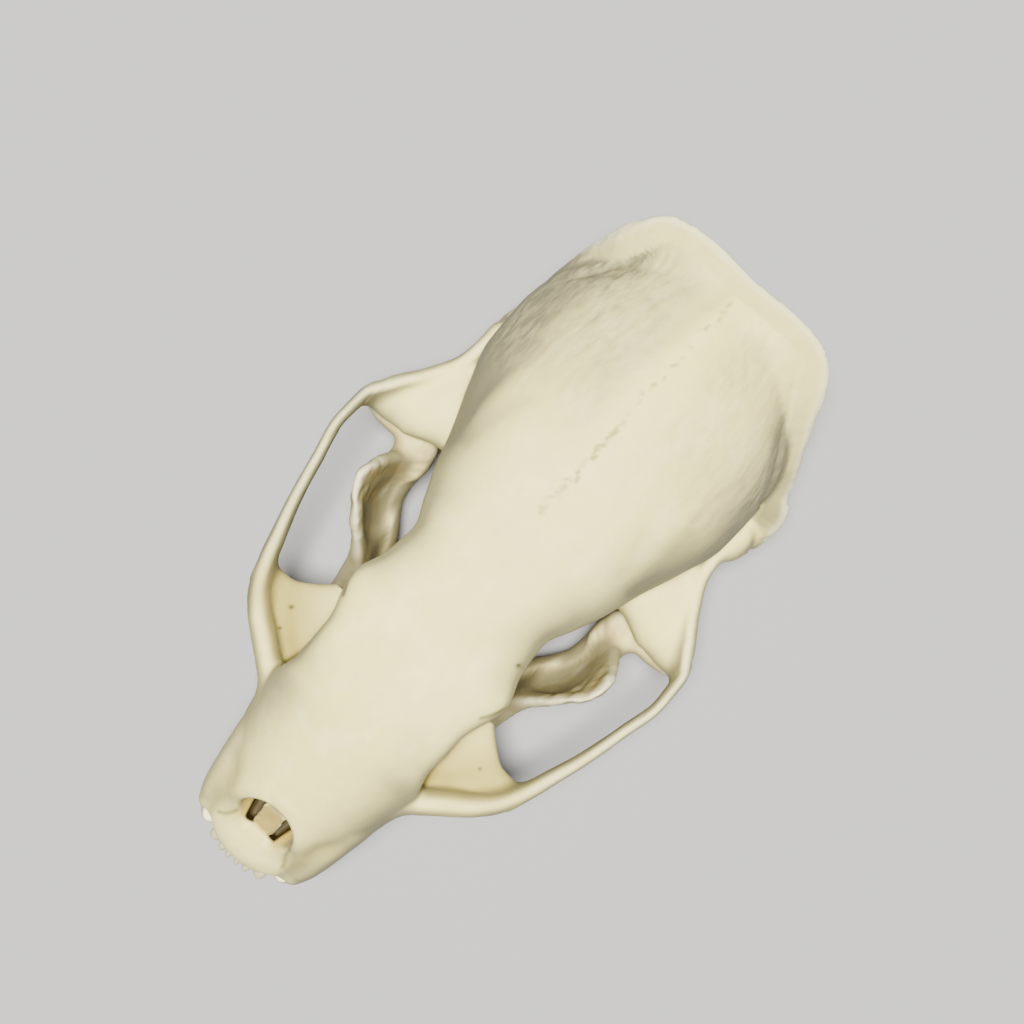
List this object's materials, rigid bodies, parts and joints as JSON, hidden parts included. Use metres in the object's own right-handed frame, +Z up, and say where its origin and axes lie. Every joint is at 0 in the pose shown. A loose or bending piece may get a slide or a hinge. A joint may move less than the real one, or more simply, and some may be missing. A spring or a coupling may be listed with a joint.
{
  "type": "mink skull",
  "caption": "Life-size skull of an adult male mink with its lower jaw closed, a still display model that rests on its jaw bones.",
  "frame": {"origin": "centre of the bounding box's bottom face, at the level of the jaw bones' lower edges", "axes": "+Y from the incisors to the neck crest, +X to the animal's own left, +Z up"},
  "size_m": [0.0388, 0.069, 0.0312],
  "materials": {
    "face_bone": "satin",
    "braincase_bone": "satin",
    "jaw_bone": "satin"
  },
  "bodies": {
    "root": {"muzzle": "face_bone", "midface": "face_bone", "braincase": "braincase_bone", "cheek_arch_left": "face_bone", "cheek_arch_right": "face_bone", "ear_bulla_left": "braincase_bone", "ear_bulla_right": "braincase_bone", "lower_jaw_left": "jaw_bone", "lower_jaw_right": "jaw_bone"}
  },
  "joints": []
}
